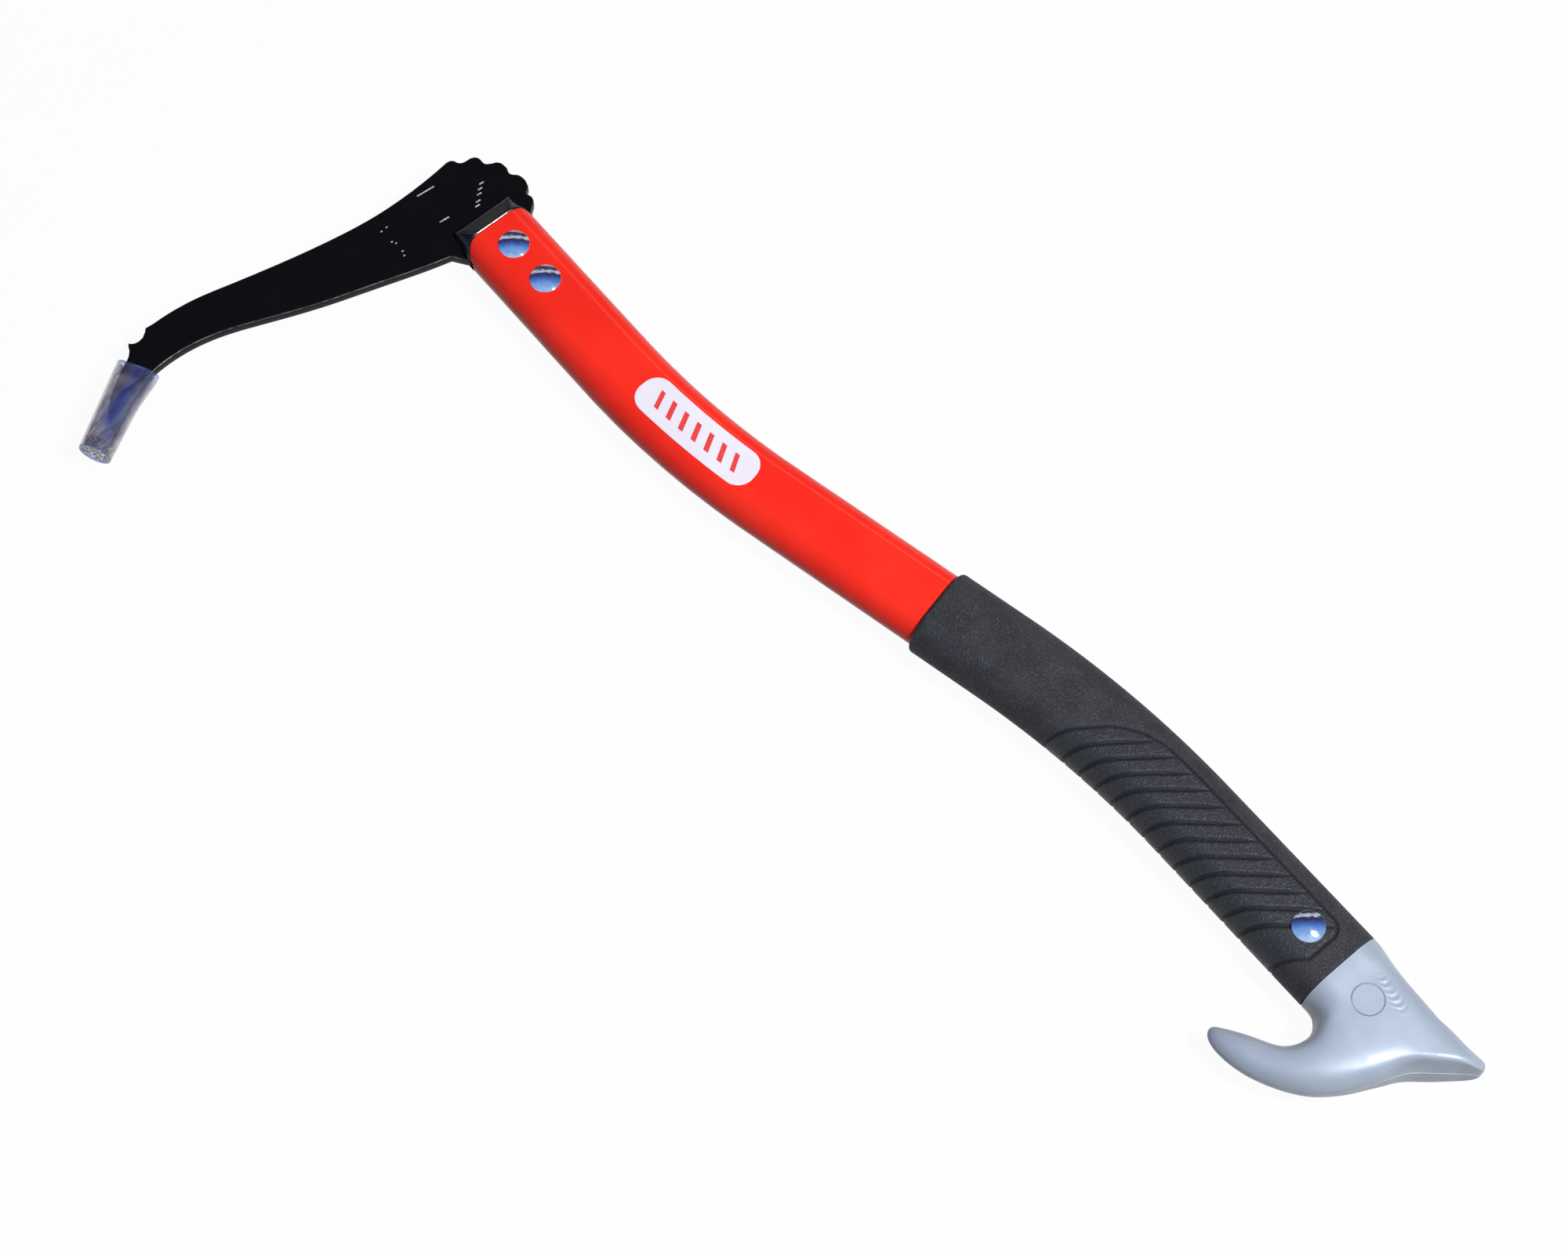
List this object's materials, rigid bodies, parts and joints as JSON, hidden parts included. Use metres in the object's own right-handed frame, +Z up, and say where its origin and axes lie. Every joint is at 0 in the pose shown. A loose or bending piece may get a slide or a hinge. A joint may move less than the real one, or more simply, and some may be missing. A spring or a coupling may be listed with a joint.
{
  "type": "hand sappie",
  "caption": "Short timber hook with a toothed black steel head, an S-bent flat-oval tube handle, a ribbed rubber grip, a horned plastic butt and a clear slip-off point guard.",
  "frame": {"origin": "centre of the tool's bounding box, on the surface that it lies on", "axes": "+X from the hook head to the butt, +Y away from the side that the hook and the horn point to, +Z up out of the flat of the hook"},
  "size_m": [0.5284, 0.1948, 0.0256],
  "materials": {
    "blade_paint": "smooth black powder coat on steel",
    "collar_plastic": "satin black moulded plastic",
    "tube_paint": "smooth satin red coat on a metal tube",
    "label_film": "thin white film, bare of print",
    "grip_rubber": "fine leather-like texture, dark grey",
    "butt_plastic": "pearly light blue-grey moulded plastic",
    "guard_vinyl": "clear flexible plastic with a faint blue tint",
    "rivet_steel": "polished, mirror-like"
  },
  "bodies": {
    "sappie": {"hook_blade": "blade_paint", "collar_half_front": "collar_plastic", "collar_half_back": "collar_plastic", "handle_tube": "tube_paint", "handle_label": "label_film", "grip_sleeve": "grip_rubber", "butt_hook": "butt_plastic", "rivet_mouth_post": "rivet_steel", "rivet_mouth_socket": "rivet_steel", "rivet_tang_post": "rivet_steel", "rivet_tang_socket": "rivet_steel", "rivet_grip_post": "rivet_steel", "rivet_grip_socket": "rivet_steel"},
    "tip_guard": {"tip_guard": "guard_vinyl"}
  },
  "joints": [
    {"name": "tip_guard_pull", "type": "slide", "parent": "sappie", "child": "tip_guard", "axis": [0.3987, -0.9171, 0], "range_m": [0, 0.045]}
  ]
}
